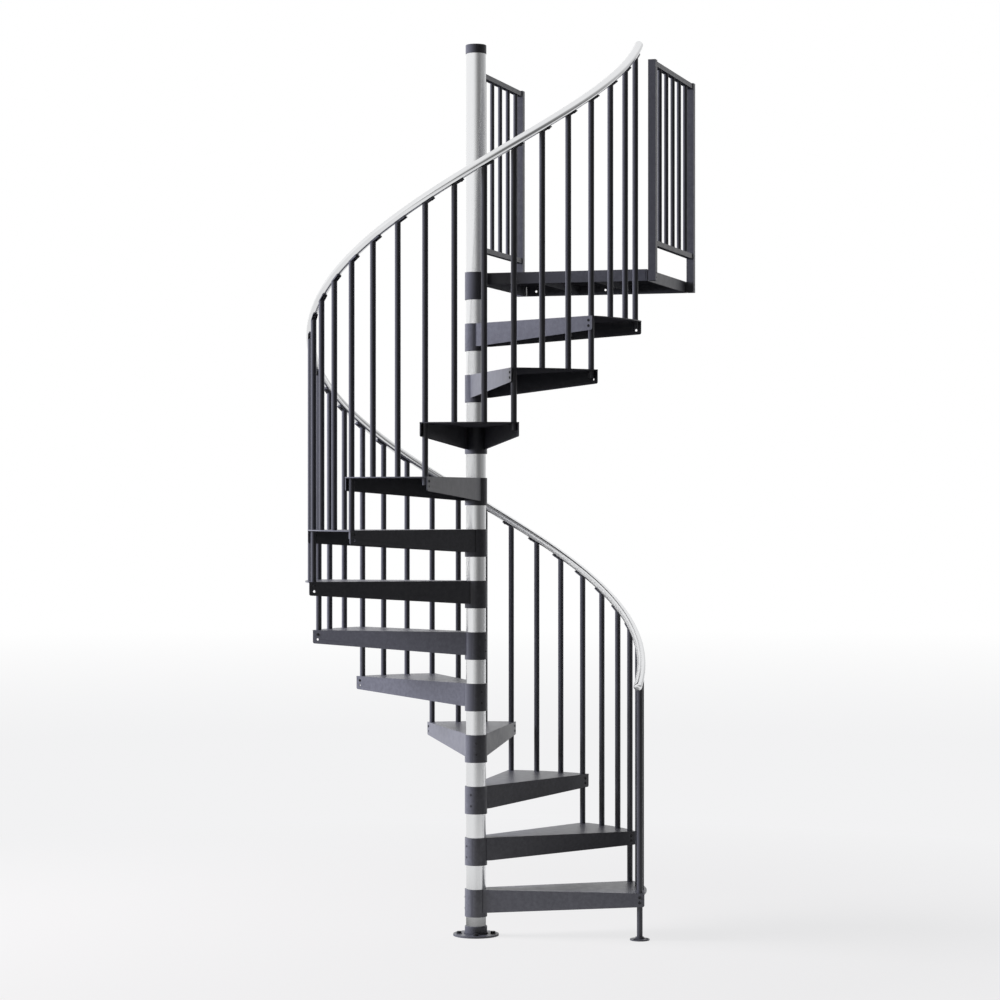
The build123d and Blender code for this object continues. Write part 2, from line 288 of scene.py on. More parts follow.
# Span of the normal's upward share over which the gloss is taken off downward faces, a painted shade that
# keeps the undersides dark
COAT_UNDERSIDE_SHADE_SPAN = (-0.8, -0.2)
POLE_TONES = ((0.785, 0.79, 0.80, 1), (0.815, 0.82, 0.83, 1))
POLE_LINE_TONE = (0.62, 0.63, 0.65, 1)
POLE_LINE_SCALES = (500.0, 500.0, 3.0)
POLE_CLOUD_SCALES = (8.0, 8.0, 2.0)
POLE_ROUGHNESS = (0.20, 0.26)
RAIL_TONES = ((0.78, 0.785, 0.795, 1), (0.81, 0.815, 0.825, 1))
RAIL_LINE_TONE = (0.70, 0.71, 0.73, 1)
RAIL_LINE_SCALES = (240.0, 240.0, 2.0)
RAIL_ROUGHNESS = (0.14, 0.18)
STEEL_TONES = ((0.018, 0.018, 0.021, 1), (0.040, 0.040, 0.045, 1))
STEEL_NICK_TONE = (0.20, 0.20, 0.21, 1)
STEEL_ROUGHNESS = (0.32, 0.48)
WELD_TONES = ((0.066, 0.066, 0.077, 1), (0.092, 0.092, 0.106, 1))
WELD_ROUGHNESS = (0.50, 0.62)


def dark_coat():
    """Charcoal powder coat: fine orange peel, slow drifts of tone, lighter edges that are partly worn thin
    coat and partly a painted highlight, and painted shade underneath, where downward faces lose their gloss.
    """
    material, tree, shader, place = new_surface("dark_coat", metallic=0.0, specular=COAT_GLOSS)
    drift = tree.varied(tree.noise(place, scale=4.0, detail=4.0), 0.0, 1.0)
    tone = tree.mix(drift, *COAT_TONES)
    grain = tree.noise(place, scale=900.0, detail=2.0)
    speckle = tree.spread(grain, low=0.0, high=0.10, start=0.45, end=0.8)
    tone = tree.mix(speckle, tone, COAT_SPECKLE_TONE)
    geometry = tree.add("ShaderNodeNewGeometry").outputs
    # Lighter edges by pointiness, in noisy patches: partly coat worn thin, partly a painted highlight
    wear_and_highlight_noise = tree.noise(place, scale=60.0, detail=5.0, roughness=0.65)
    wear_and_highlight_patches = tree.spread(wear_and_highlight_noise, low=0.2, high=0.7, start=0.35, end=0.7)
    edge = tree.math("MULTIPLY", tree.spread(geometry["Pointiness"], 0.0, 1.0, *COAT_EDGE_WEAR_AND_HIGHLIGHT_SPAN), wear_and_highlight_patches)
    tone = tree.mix(edge, tone, COAT_EDGE_WEAR_AND_HIGHLIGHT_TONE)
    tree.feed(shader.inputs["Base Color"], tone)
    # Painted shade: faces that point down lose their gloss, so the undersides stay dark
    upward = tree.add("ShaderNodeSeparateXYZ", Vector=geometry["True Normal"]).outputs["Z"]
    gloss_with_painted_underside_shade = tree.spread(upward, 0.0, COAT_GLOSS, *COAT_UNDERSIDE_SHADE_SPAN)
    tree.feed(shader.inputs["Specular IOR Level"], gloss_with_painted_underside_shade)
    sheen = tree.noise(place, scale=30.0, detail=4.0)
    tree.feed(shader.inputs["Roughness"], tree.varied(sheen, *COAT_ROUGHNESS))
    coarse = tree.noise(place, scale=450.0, detail=3.0)
    fine = tree.noise(place, scale=1800.0, detail=2.0)
    peel = tree.bump(tree.math("ADD", coarse, fine), strength=0.06, distance=0.0003)
    tree.feed(shader.inputs["Normal"], peel)
    return material


def pole_silver():
    """Silver coat on drawn tube: faint upright drawing lines, clouds and small nicks."""
    material, tree, shader, place = new_surface("pole_silver", metallic=1.0, specular=0.5)
    lines = tree.noise(tree.stretched(place, POLE_LINE_SCALES), scale=1.0)
    clouds = tree.varied(tree.noise(tree.stretched(place, POLE_CLOUD_SCALES), scale=1.0), 0.0, 1.0)
    tone = tree.mix(clouds, *POLE_TONES)
    drawn = tree.spread(lines, low=0.0, high=0.10, start=0.45, end=0.8)
    tree.feed(shader.inputs["Base Color"], tree.mix(drawn, tone, POLE_LINE_TONE))
    tree.feed(shader.inputs["Roughness"], tree.varied(lines, *POLE_ROUGHNESS))
    dents = tree.noise(place, scale=140.0, detail=4.0, roughness=0.7)
    nicks = tree.spread(dents, low=0.0, high=0.5, start=0.70, end=0.8)
    relief = tree.bump(tree.math("ADD", lines, nicks), strength=0.02, distance=0.0002)
    tree.feed(shader.inputs["Normal"], relief)
    return material


def rail_aluminium(name, on_helix):
    """Polished aluminium with faint drawing lines round the stair, on the helix with the rail's normal."""
    material, tree, shader, place = new_surface(name, metallic=1.0, specular=0.5)
    parts = tree.add("ShaderNodeSeparateXYZ", Vector=place).outputs
    turn = tree.math("ARCTAN2", parts["Y"], parts["X"])
    square = tree.math("ADD", tree.math("POWER", parts["X"], 2.0), tree.math("POWER", parts["Y"], 2.0))
    outward = tree.math("SUBTRACT", tree.math("SQRT", square), BALUSTER_CIRCLE)
    rise = tree.math("SUBTRACT", parts["Z"], tree.math("MULTIPLY", turn, CLIMB_PER_RADIAN))
    along = tree.math("MULTIPLY", turn, BALUSTER_CIRCLE)
    section = tree.add("ShaderNodeCombineXYZ", X=outward, Y=rise, Z=along).outputs[0]
    lines = tree.noise(tree.stretched(section, RAIL_LINE_SCALES), scale=1.0, detail=2.0)
    clouds = tree.varied(tree.noise(place, scale=8.0), 0.0, 1.0)
    tone = tree.mix(clouds, *RAIL_TONES)
    drawn = tree.spread(lines, low=0.0, high=0.08, start=0.5, end=0.8)
    tree.feed(shader.inputs["Base Color"], tree.mix(drawn, tone, RAIL_LINE_TONE))
    tree.feed(shader.inputs["Roughness"], tree.varied(lines, *RAIL_ROUGHNESS))
    scratched = tree.add("ShaderNodeBump", Height=lines, Strength=0.015, Distance=0.0002)
    if on_helix:
        tree.feed(scratched.inputs["Normal"], rail_normal(tree, turn, outward, rise))
    tree.feed(shader.inputs["Normal"], scratched.outputs["Normal"])
    return material


def rail_normal(tree, turn, outward, rise):
    """The rail's normal from its own helix, which evens out the shading of its facets."""
    half_climb = CLIMB_PER_RADIAN * math.pi
    above = tree.add("ShaderNodeMath", {"operation": "WRAP"})
    tree.feed(above.inputs[0], tree.math("SUBTRACT", rise, RAIL_LINE_HEIGHT))
    above.inputs[1].default_value = half_climb
    above.inputs[2].default_value = -half_climb
    across = tree.math("MULTIPLY", above.outputs[0], math.cos(RAIL_SLOPE))
    lean = tree.math("MULTIPLY", across, math.sin(RAIL_SLOPE))
    east = tree.math("COSINE", turn)
    north = tree.math("SINE", turn)
    x = tree.math("ADD", tree.math("MULTIPLY", east, outward), tree.math("MULTIPLY", north, lean))
    y = tree.math("SUBTRACT", tree.math("MULTIPLY", north, outward), tree.math("MULTIPLY", east, lean))
    z = tree.math("MULTIPLY", across, math.cos(RAIL_SLOPE))
    away = tree.add("ShaderNodeCombineXYZ", X=x, Y=y, Z=z).outputs[0]
    return tree.add("ShaderNodeVectorMath", {"operation": "NORMALIZE"}, Vector=away).outputs["Vector"]


def black_steel():
    """Blackened steel of the screws and bolts: oily sheen with fine turning marks and bright nicks."""
    material, tree, shader, place = new_surface("black_steel", metallic=0.35, specular=0.4)
    marks = tree.noise(place, scale=1500.0)
    dents = tree.noise(place, scale=420.0, detail=5.0, roughness=0.7)
    nicks = tree.spread(dents, low=0.0, high=0.6, start=0.62, end=0.75)
    tone = tree.mix(tree.varied(marks, 0.0, 1.0), *STEEL_TONES)
    tree.feed(shader.inputs["Base Color"], tree.mix(nicks, tone, STEEL_NICK_TONE))
    tree.feed(shader.inputs["Roughness"], tree.varied(marks, *STEEL_ROUGHNESS))
    tree.feed(shader.inputs["Normal"], tree.bump(marks, strength=0.08, distance=0.0002))
    return material


def coated_weld():
    """Powder coat over weld beads: the coat's tone with spatter and a rougher skin."""
    material, tree, shader, place = new_surface("coated_weld", metallic=0.0, specular=0.2)
    drift = tree.noise(place, scale=70.0, detail=4.0)
    spatter = tree.add("ShaderNodeTexVoronoi", Vector=place, Scale=650.0).outputs["Distance"]
    tree.feed(shader.inputs["Base Color"], tree.mix(tree.varied(drift, 0.0, 1.0), *WELD_TONES))
    tree.feed(shader.inputs["Roughness"], tree.varied(drift, *WELD_ROUGHNESS))
    tree.feed(shader.inputs["Normal"], tree.bump(spatter, strength=0.15, distance=0.0004))
    return material


finishes = {
    "dark_coat": dark_coat(),
    "pole_silver": pole_silver(),
    "rail_aluminium": rail_aluminium("rail_aluminium", on_helix=False),
}
rail_finish = rail_aluminium("rail_aluminium_tube", on_helix=True)
screw_finish = black_steel()
weld_finish = coated_weld()

# CAD nodes: finish by material slot, and softened edges

EDGE_WIDTH = 0.0009
EDGE_SEGMENTS = 2
EDGE_ANGLE = math.radians(32)
MERGE_DISTANCE = 0.00002
FLAT_ANGLE = math.radians(0.3)


def dress(piece, finish, curved):
    """Give a CAD node, or a piece in its place, its finish and soft edges; a curved tube gets sharp ends."""
    piece.data.materials.clear()
    piece.data.materials.append(finish)
    piece.data.polygons.foreach_set("use_smooth", [True] * len(piece.data.polygons))
    weld = piece.modifiers.new("join_facets", "WELD")
    weld.merge_threshold = MERGE_DISTANCE
    if curved:
        ends = piece.modifiers.new("sharp_ends", "EDGE_SPLIT")
        ends.split_angle = EDGE_ANGLE
        return
    flat = piece.modifiers.new("flat_faces", "DECIMATE")
    flat.decimate_type = "DISSOLVE"
    flat.angle_limit = FLAT_ANGLE
    edges = piece.modifiers.new("soft_edges", "BEVEL")
    edges.width = EDGE_WIDTH
    edges.segments = EDGE_SEGMENTS
    edges.limit_method = "ANGLE"
    edges.angle_limit = EDGE_ANGLE
    shading = piece.modifiers.new("even_shading", "WEIGHTED_NORMAL")
    shading.mode = "FACE_AREA"


slots = {row["node"]: row["material_slot"] for row in frame["record"]["subparts"]}
for name, node in nodes.items():
    if name == "handrail":
        dress(node, rail_finish, curved=True)
    else:
        dress(node, finishes[slots[name]], curved=False)

# Pieces made of many small parts


class Parts:
    """Vertices and faces of many small parts that become one piece."""

    def __init__(self):
        self.points = []
        self.faces = []

    def put(self, points, faces, place):
        """Add a part's points and faces at a place."""
        first = len(self.points)
        self.points += [place @ point for point in points]
        self.faces += [[first + index for index in face] for face in faces]

    def piece(self, name, finish):
        """Make the piece, and let it ride on the stair."""
        mesh = bpy.data.meshes.new(name)
        mesh.from_pydata(self.points, [], self.faces)
        mesh.materials.append(finish)
        mesh.polygons.foreach_set("use_smooth", [True] * len(mesh.polygons))
        mesh.set_sharp_from_angle(angle=EDGE_ANGLE)
        piece = placed(name, mesh)
        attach(piece, "root")
        return piece


# Screws and bolts

ROUND_SEGMENTS = 24
HEX_SIDES = 6
HEX_TURN = math.tau / HEX_SIDES
# Profiles of the heads from base to crown, as shares of their radius and height
SCREW_DOME = ((1.0, 0.0), (1.0, 0.22), (0.97, 0.45), (0.88, 0.72), (0.74, 0.92), (0.62, 1.0))
SET_SCREW_END = ((1.0, -1.0), (1.0, 0.6), (0.86, 1.0))
SET_SCREW_SOCKET_FLOOR = -0.8
SOCKET_TAPER = 0.96
WASHER_EDGE = ((0.96, 0.0), (1.0, 0.25), (1.0, 0.8), (0.97, 1.0))
BOLT_FLATS = ((1.0, 0.0), (1.0, 0.84))
BOLT_CROWN = ((0.93, 1.0), (0.5, 1.03))
# Upward share of an axis from which it counts as upright
UPRIGHT_SHARE = 0.99


def ring(radius, height, hexagon=False):
    """Points of a level ring, round or with six flats at a radius."""
    points = []
    for index in range(ROUND_SEGMENTS):
        angle = math.tau * index / ROUND_SEGMENTS
        off_flat = (angle + HEX_TURN / 2) % HEX_TURN - HEX_TURN / 2
        reach = radius / math.cos(off_flat) if hexagon else radius
        points.append(Vector((reach * math.cos(angle), reach * math.sin(angle), height)))
    return points


def stacked(rings):
    """Points and faces of a closed form with rings from its base to its crown."""
    points = [point for one in rings for point in one]
    count = ROUND_SEGMENTS
    faces = [list(reversed(range(count)))]
    for lower in range(0, len(points) - count, count):
        for index in range(count):
            following = (index + 1) % count
            faces.append([lower + index, lower + following, lower + count + following, lower + count + index])
    faces.append(list(range(len(points) - count, len(points))))
    return points, faces


def button_screw(radius, height, socket_width, socket_depth):
    """A domed screw head with a six-sided socket."""
    rings = [ring(radius * share, height * rise) for share, rise in SCREW_DOME]
    socket = socket_width / 2
    rings += [ring(socket, height, True), ring(socket * SOCKET_TAPER, height - socket_depth, True)]
    return stacked(rings)


def set_screw(radius, socket_width, stand):
    """The flush end of a set screw, with its socket."""
    rings = [ring(radius * share, stand * rise) for share, rise in SET_SCREW_END]
    socket = socket_width / 2
    rings += [ring(socket, stand, True), ring(socket * SOCKET_TAPER, stand * SET_SCREW_SOCKET_FLOOR, True)]
    return stacked(rings)


def hex_bolt(width, height, washer_radius, washer_thickness):
    """A bolt head with chamfered flats, on its washer."""
    flats = width / 2
    rings = [ring(washer_radius * share, washer_thickness * rise) for share, rise in WASHER_EDGE]
    rings += [ring(flats * share, washer_thickness + height * rise, True) for share, rise in BOLT_FLATS]
    rings += [ring(flats * share, washer_thickness + height * rise) for share, rise in BOLT_CROWN]
    return stacked(rings)


def standing(origin, outward):
    """A place at an origin with its own Z pointing outward."""
    z = outward.normalized()
    x = EAST if abs(UP.dot(z)) >= UPRIGHT_SHARE else UP.cross(z).normalized()
    turned = Matrix((x, z.cross(x), z)).transposed().to_4x4()
    return Matrix.Translation(origin) @ turned


screw = button_screw(SCREW_HEAD_RADIUS, SCREW_HEAD_HEIGHT, SCREW_SOCKET_WIDTH, SCREW_SOCKET_DEPTH)
flush_screw = set_screw(SET_SCREW_RADIUS, SCREW_SOCKET_WIDTH, SET_SCREW_STAND)
bolt = hex_bolt(BOLT_HEAD_WIDTH, BOLT_HEAD_HEIGHT, WASHER_RADIUS, WASHER_THICKNESS)


def corner_screws():
    """Screws through the flanges into the corner bars: two in front, and behind one over the open hole."""
    parts = Parts()
    for number in range(1, TREAD_COUNT + 1):
        for side, drops in ((-1, CORNER_SCREW_DROPS), (1, CORNER_SCREW_DROPS[:1])):
            along = tread_angle(number) + side * SEAM_WEDGE
            outward = level(along + side * math.pi / 2)
            for drop in drops:
                seat = level(along) * SEAM_BALUSTER_REACH + outward * SEAM_OFFSET
                parts.put(*screw, standing(seat + UP * (tread_top(number) - drop), outward))
    return parts.piece("corner_screws", screw_finish)


def hub_set_screws():
    """Two set screws in each hub, on the side away from its tread."""
    parts = Parts()
    for number in range(1, TREAD_COUNT + 1):
        outward = level(tread_angle(number) + math.pi)
        for drop in SET_SCREW_DROPS:
            seat = outward * HUB_RADIUS + UP * (tread_top(number) - drop)
            parts.put(*flush_screw, standing(seat, outward))
    return parts.piece("hub_set_screws", screw_finish)


def tab_screws():
    """A screw under each tab, up into the handrail."""
    parts = Parts()
    for angle in baluster_angles():
        climb = level(angle + math.pi / 2) * math.cos(RAIL_SLOPE) + UP * math.sin(RAIL_SLOPE)
        below = climb.cross(level(angle))
        top = level(angle) * BALUSTER_CIRCLE + UP * tab_height(angle)
        parts.put(*screw, standing(top + climb * TAB_SCREW_REACH + below * TAB_THICKNESS, below))
    return parts.piece("tab_screws", screw_finish)


def floor_bolts():
    """Anchor bolts on the base flange, and screws on the first baluster's foot."""
    parts = Parts()
    for index in range(BASE_BOLT_COUNT):
        angle = BASE_BOLT_ANGLE + math.tau * index / BASE_BOLT_COUNT
        seat = level(angle) * BASE_BOLT_CIRCLE_RADIUS + UP * BASE_FLANGE_THICKNESS
        parts.put(*bolt, Matrix.Translation(seat))
    foot = level(baluster_angle(1, 0)) * BALUSTER_CIRCLE + UP * FOOT_THICKNESS
    for index in range(FOOT_SCREW_COUNT):
        angle = math.tau * index / FOOT_SCREW_COUNT
        parts.put(*screw, Matrix.Translation(foot + level(angle) * FOOT_SCREW_CIRCLE_RADIUS))
    return parts.piece("floor_bolts", screw_finish)


# Weld beads

# Section of a bead, as shares of its leg along the two faces
BEAD_SECTION = ((1.0, 0.0), (0.72, 0.38), (0.46, 0.46), (0.38, 0.72), (0.0, 1.0))
BEAD_STEP = WELD_RIPPLE_LENGTH / 4
BEAD_LEAST_STEPS = 8
# Directions of a hub bead's two sides, as shares outward and along the flange
HUB_BEAD_LIFT = 0.05
HUB_BEAD_RISE = 0.72
HUB_BEAD_BACK = 0.69


def lay_bead(parts, corner_line, along_first, along_second, length, leg, closed):
    """A rippled weld bead in the corner between two faces; the lines are functions of a share from 0 to 1."""
    steps = max(BEAD_LEAST_STEPS, round(length / BEAD_STEP))
    ripples = round(length / WELD_RIPPLE_LENGTH)
    points = []
    for step in range(steps if closed else steps + 1):
        share = step / steps
        swell = 1 + WELD_RIPPLE_SHARE * math.sin(math.tau * share * ripples)
        for first, second in BEAD_SECTION:
            inner = 0 < first < 1 and 0 < second < 1
            size = leg * swell if inner else leg
            reach = along_first(share) * first + along_second(share) * second
            points.append(corner_line(share) + reach * size)
    width = len(BEAD_SECTION)
    faces = []
    for step in range(steps):
        here = step * width
        there = (step + 1) % steps * width if closed else here + width
        for index in range(width - 1):
            faces.append([here + index, here + index + 1, there + index + 1, there + index])
    parts.put(points, faces, HERE)


def ring_bead(parts, centre, radius, axis, leg):
    """A weld bead round a bar that stands on a face."""
    turned = standing(centre, axis).to_3x3()

    def outward(share):
        return turned @ level(math.tau * share)

    def corner(share):
        return centre + outward(share) * radius

    lay_bead(parts, corner, outward, lambda share: axis, math.tau * radius, leg, closed=True)


def straight_bead(parts, start, end, first, second, leg):
    """A weld bead along a straight corner."""

    def corner(share):
        return start.lerp(end, share)

    length = (end - start).length
    lay_bead(parts, corner, lambda share: first, lambda share: second, length, leg, closed=False)


def stair_welds():
    """Beads where the flanges meet the hubs, and round the base collar and the foot's collar."""
    parts = Parts()
    reach = math.sqrt(HUB_RADIUS**2 - SEAM_OFFSET**2)
    for number in range(1, TREAD_COUNT + 1):
        for side in (-1, 1):
            along = level(tread_angle(number) + side * SEAM_WEDGE)
            outward = level(tread_angle(number) + side * (SEAM_WEDGE + math.pi / 2))
            seam = along * reach + outward * SEAM_OFFSET
            top = seam + UP * (tread_top(number) - EDGE_WIDTH)
            bottom = seam + UP * (tread_top(number) - FLANGE_ROOT_DEPTH)
            on_flange = along + outward * HUB_BEAD_LIFT
            on_hub = outward * HUB_BEAD_RISE - along * HUB_BEAD_BACK
            straight_bead(parts, bottom, top, on_flange, on_hub, WELD_LEG)
    ring_bead(parts, UP * BASE_FLANGE_THICKNESS, BASE_COLLAR_RADIUS, UP, BASE_WELD_LEG)
    foot = level(baluster_angle(1, 0)) * BALUSTER_CIRCLE
    ring_bead(parts, foot + UP * FOOT_THICKNESS, FOOT_COLLAR_RADIUS, UP, WELD_LEG)
    return parts.piece("stair_welds", weld_finish)


# Guard panels: side of the landing, its wall there and the front post's front
GUARD_SIDES = (
    (-1, LANDING_LEFT, LANDING_FRONT + LEFT_FRONT_POST_SETBACK),
    (1, LANDING_RIGHT, LANDING_FRONT),
)
LANDING_TOP = tread_top(TREAD_COUNT + 1)
LOWER_RAIL = LANDING_TOP + LOWER_RAIL_ABOVE_LANDING
UPPER_RAIL = LANDING_TOP + POST_HEIGHT - UPPER_RAIL_BELOW_POST_TOP - GUARD_RAIL_HEIGHT


def guard_welds():
    """Beads round the pickets' ends and where the guard rails meet their posts."""
    parts = Parts()
    pitch = (LANDING_BACK - LANDING_FRONT - POST_WIDTH) / (PICKET_COUNT + 1)
    for side, wall, front in GUARD_SIDES:
        x = wall + side * (POST_STAND_OFF + POST_WIDTH / 2)
        first = front + POST_WIDTH / 2 + pitch * FIRST_PICKET_SHARE
        for index in range(PICKET_COUNT):
            foot = Vector((x, first + pitch * index, LOWER_RAIL + GUARD_RAIL_HEIGHT))
            ring_bead(parts, foot, PICKET_RADIUS, UP, PICKET_WELD_LEG)
            head = Vector((x, first + pitch * index, UPPER_RAIL))
            ring_bead(parts, head, PICKET_RADIUS, -UP, PICKET_WELD_LEG)
        for y, away in ((front + POST_WIDTH, NORTH), (LANDING_BACK - POST_WIDTH, -NORTH)):
            for bottom in (LOWER_RAIL, UPPER_RAIL):
                left = Vector((x - GUARD_RAIL_WIDTH / 2, y, bottom))
                right = Vector((x + GUARD_RAIL_WIDTH / 2, y, bottom))
                straight_bead(parts, left, left + UP * GUARD_RAIL_HEIGHT, -EAST, away, WELD_LEG)
                straight_bead(parts, right, right + UP * GUARD_RAIL_HEIGHT, EAST, away, WELD_LEG)
                straight_bead(parts, left, right, -UP, away, WELD_LEG)
    return parts.piece("guard_welds", weld_finish)


def post_screws():
    """Flush screws through the guard posts and their pads into the landing's sides."""
    parts = Parts()
    for side, wall, front in GUARD_SIDES:
        x = wall + side * (POST_STAND_OFF + POST_WIDTH)
        for y in (front + POST_WIDTH / 2, LANDING_BACK - POST_WIDTH / 2):
            for drop in POST_SCREW_DROPS:
                parts.put(*flush_screw, standing(Vector((x, y, LANDING_TOP - drop)), EAST * side))
    return parts.piece("post_screws", screw_finish)


# Treads as the photograph shows them: a thin outer edge, and flanges that meet the hub inside its width

HUB_SEGMENTS = 96
HOLE_SEGMENTS = 32
ARC_SEGMENTS = 40
CORNER_SEGMENTS = 6
CUT_OVERRUN = 0.02


def circle(centre, radius, count):
    """Points of a circle in plan, counterclockwise."""
    return [centre + level(math.tau * index / count) * radius for index in range(count)]


def extruded(name, outline, bottom, top, place=HERE):
    """A solid with a counterclockwise outline, from one height to another, for joining and cutting."""
    count = len(outline)
    points = [place @ (point + UP * height) for height in (bottom, top) for point in outline]
    faces = [list(reversed(range(count))), list(range(count, 2 * count))]
    for index in range(count):
        following = (index + 1) % count
        faces.append([index, following, count + following, count + index])
    mesh = bpy.data.meshes.new(name)
    mesh.from_pydata(points, [], faces)
    return placed(name, mesh)


def flange_reach(distance):
    """How far along a flange's outer face lies a distance from the axis on the tread's middle line."""
    return (distance + SEAM_OFFSET * math.sin(SEAM_WEDGE)) / math.cos(SEAM_WEDGE)


def flange_outline():
    """A flange's outline along it and up, from its root in the hub to its rounded tip."""
    tip = flange_reach(TREAD_RADIUS * math.cos(TREAD_CORNER_ANGLE) - FLANGE_TIP_SETBACK)
    root = flange_reach(HUB_RADIUS)
    points = [Vector((FLANGE_ROOT_REACH, -FLANGE_ROOT_DEPTH, 0)), Vector((root, -FLANGE_ROOT_DEPTH, 0))]
    slope = math.atan2(FLANGE_ROOT_DEPTH - FLANGE_TIP_DEPTH, tip - root)
    half_turn = (math.pi / 2 - slope) / 2
    rise = FLANGE_CORNER_RADIUS * math.tan(half_turn)
    centre = Vector((tip - FLANGE_CORNER_RADIUS, -FLANGE_TIP_DEPTH + rise, 0))
    for step in range(CORNER_SEGMENTS + 1):
        turn = -2 * half_turn * (1 - step / CORNER_SEGMENTS)
        points.append(centre + level(turn) * FLANGE_CORNER_RADIUS)
    return points + [Vector((tip, 0, 0)), Vector((FLANGE_ROOT_REACH, 0, 0))]


def flange_place(side, offset):
    """The plane of a flange, with X along it, Y up and its face at an offset from the axis."""
    along = level(side * SEAM_WEDGE)
    outward = level(side * (SEAM_WEDGE + math.pi / 2))
    turned = Matrix((along, UP, along.cross(UP))).transposed().to_4x4()
    return Matrix.Translation(outward * offset) @ turned


def plate_outline():
    """The tread plate's outline in plan, from one flange's root along the outer arc to the other's."""
    front, back = (
        level(side * SEAM_WEDGE) * FLANGE_ROOT_REACH + level(side * (SEAM_WEDGE + math.pi / 2)) * SEAM_OFFSET
        for side in (-1, 1)
    )
    arc = [(2 * step / ARC_SEGMENTS - 1) * TREAD_CORNER_ANGLE for step in range(ARC_SEGMENTS + 1)]
    return [front] + [level(angle) * TREAD_RADIUS for angle in arc] + [back]


def tread_mesh():
    """The mesh of a tread that lies along X with its top at zero."""
    whole = extruded("tread_hub", circle(Vector(), HUB_RADIUS, HUB_SEGMENTS), -HUB_HEIGHT, 0)
    tools = [("UNION", extruded("tread_plate", plate_outline(), -TREAD_THICKNESS, 0))]
    front = flange_place(-1, SEAM_OFFSET)
    back = flange_place(1, SEAM_OFFSET - FLANGE_THICKNESS)
    for place in (front, back):
        tools.append(("UNION", extruded("tread_flange", flange_outline(), -FLANGE_THICKNESS, 0, place)))
    bore = circle(Vector(), HUB_BORE_RADIUS, HUB_SEGMENTS)
    tools.append(("DIFFERENCE", extruded("tread_bore", bore, -HUB_HEIGHT - CUT_OVERRUN, CUT_OVERRUN)))
    for side in (-1, 1):
        centre = level(side * BALUSTER_HALF_ANGLE) * BALUSTER_CIRCLE
        hole = circle(centre, BALUSTER_HOLE_RADIUS, HOLE_SEGMENTS)
        tools.append(("DIFFERENCE", extruded("tread_hole", hole, -CUT_OVERRUN, CUT_OVERRUN)))
    spare = Vector((SEAM_BALUSTER_REACH, -FLANGE_HOLE_DROP, 0))
    drilled = circle(spare, FLANGE_HOLE_RADIUS, HOLE_SEGMENTS)
    tools.append(("DIFFERENCE", extruded("tread_drill", drilled, -CUT_OVERRUN, CUT_OVERRUN, back)))
    for operation, tool in tools:
        step = whole.modifiers.new(operation.lower(), "BOOLEAN")
        step.operation = operation
        step.solver = "EXACT"
        step.object = tool
    mesh = bpy.data.meshes.new_from_object(whole.evaluated_get(bpy.context.evaluated_depsgraph_get()))
    for used in [whole] + [tool for operation, tool in tools]:
        bpy.data.meshes.remove(used.data)
    return mesh


def treads():
    """One piece for each tread, in place of its CAD node."""
    template = tread_mesh()
    for number in range(1, TREAD_COUNT + 1):
        mesh = template.copy()
        turned = Matrix.Rotation(tread_angle(number), 4, "Z")
        mesh.transform(Matrix.Translation(UP * tread_top(number)) @ turned)
        piece = placed(f"tread_form_{number:02d}", mesh)
        dress(piece, finishes["dark_coat"], curved=False)
        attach(piece, "root")
        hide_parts(f"tread_{number:02d}")
    bpy.data.meshes.remove(template)


treads()
corner_screws()
hub_set_screws()
tab_screws()
floor_bolts()
stair_welds()
guard_welds()
post_screws()

# Studio: pale floor, white room, soft lamps at the left and at the back right

ROOM_RIGHT = CAMERA_AIM.cross(UP)
ROOM_BACK = CAMERA_AIM
WHITE = (1, 1, 1, 1)
FULL_TURN_DEGREES = 360
# Floor: spans are distances from the pole, and pairs of levels, glows and shares go from near to far
FLOOR_HALF_WIDTH = 40.0
FLOOR_GRAIN = (0.88, 0.92)
# A warm paint, so that the cool lamp's light on it comes out grey: its green and blue as shares of its red
FLOOR_GREEN_SHARE = 0.925
FLOOR_BLUE_SHARE = 0.815
FLOOR_GLOWS = ((0.878, 0.878, 0.887, 1), (0.887, 0.887, 0.895, 1))
FLOOR_GLOW_SHARES = (0.88, 1.0)
FLOOR_SHADOW_SPAN = (2.0, 4.5)
FLOOR_WHITE_SPAN = (11.0, 29.0)
FLOOR_BOUNCE_SPAN = (0.5, 1.3)
FLOOR_BOUNCE_LEVELS = (1.0, 0.02)
FLOOR_SHINE_SPAN = (0.5, 1.6)
FLOOR_SHINE_LEVELS = (0.22, 0.90)
FLOOR_DIM_SPAN = (3.0, 10.0)
FLOOR_DIM_LEVELS = (1.0, 0.15)
FLOOR_DIM_ANGLE = math.radians(310)
# Brightness of the room by direction in mirror-like finishes: degrees from the right over the back, and level
ROOM_LEVELS = (
    (180, 1.05), (240, 1.03), (254, 0.88), (266, 0.66), (278, 0.42), (290, 0.24), (303, 0.18), (318, 0.20),
    (336, 0.32), (0, 0.36), (24, 0.56), (48, 0.62), (68, 0.90), (90, 1.05),
)
ROOM_OVERHEAD_LEVEL = 0.98
# Span of a direction's upward share over which the sides pass into the level overhead
ROOM_OVERHEAD_SPAN = (0.2, 0.6)
ROOM_FILL_LEVEL = 0.02
LAMP_SIZE = 5.0
LAMP_COLOR = (0.94, 0.96, 1.10)
LAMP_REACH = 9.0
LAMP_AIM = Vector((0, 0, 1.9))
# Lamps: degrees from the right over the back, degrees above level, and watts
LAMPS = {"left_lamp": (175, 15, 2000), "back_lamp": (42, 8, 150)}


def room_direction(angle):
    """Level direction in the room, at an angle from the right over the back."""
    return ROOM_RIGHT * math.cos(angle) + ROOM_BACK * math.sin(angle)


